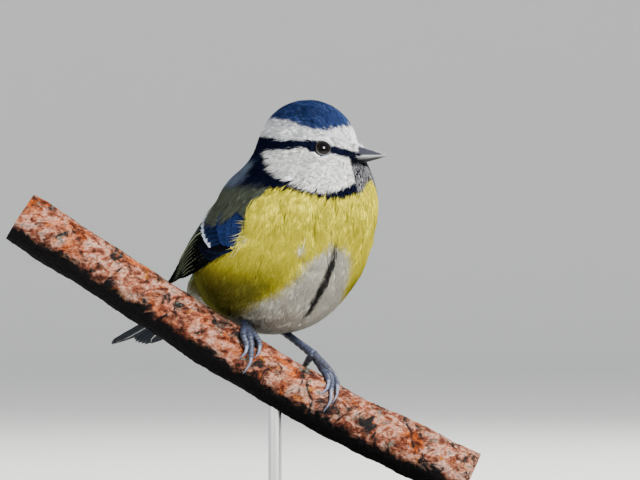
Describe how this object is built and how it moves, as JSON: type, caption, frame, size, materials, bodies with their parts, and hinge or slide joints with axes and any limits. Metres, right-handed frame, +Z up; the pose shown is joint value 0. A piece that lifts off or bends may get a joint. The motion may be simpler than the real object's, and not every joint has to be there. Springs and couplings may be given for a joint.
{
  "type": "blue tit model",
  "caption": "Life-size still model of a blue tit gripping a short cut branch, held by a plain rod on a flat round base.",
  "frame": {"origin": "middle of the base's underside", "axes": "+X to the viewer's right, +Y away from the viewer, +Z up"},
  "size_m": [0.1132, 0.0975, 0.1083],
  "materials": {
    "plumage_head": "soft feathers, white with blue and navy",
    "plumage_neck": "soft feathers, navy and yellow",
    "plumage_body": "soft feathers, yellow with a white belly and a grey-green back",
    "flight_feathers": "smooth vanes, blue and blackish with pale edges",
    "eye": "wet, nearly black",
    "bill": "satin horn",
    "leg": "scaly, blue-grey",
    "bark": "rough bark with orange and grey algae",
    "rod": "satin steel",
    "base": "dark satin lacquer"
  },
  "bodies": {
    "root": {"head": "plumage_head", "neck": "plumage_neck", "torso": "plumage_body", "wing_right": "flight_feathers", "wing_left": "flight_feathers", "tail": "flight_feathers", "eye_right": "eye", "eye_left": "eye", "bill_upper": "bill", "bill_lower": "bill", "leg_right": "leg", "leg_left": "leg", "foot_right": "leg", "foot_left": "leg", "perch": "bark", "stand_rod": "rod", "stand_base": "base"}
  },
  "joints": []
}
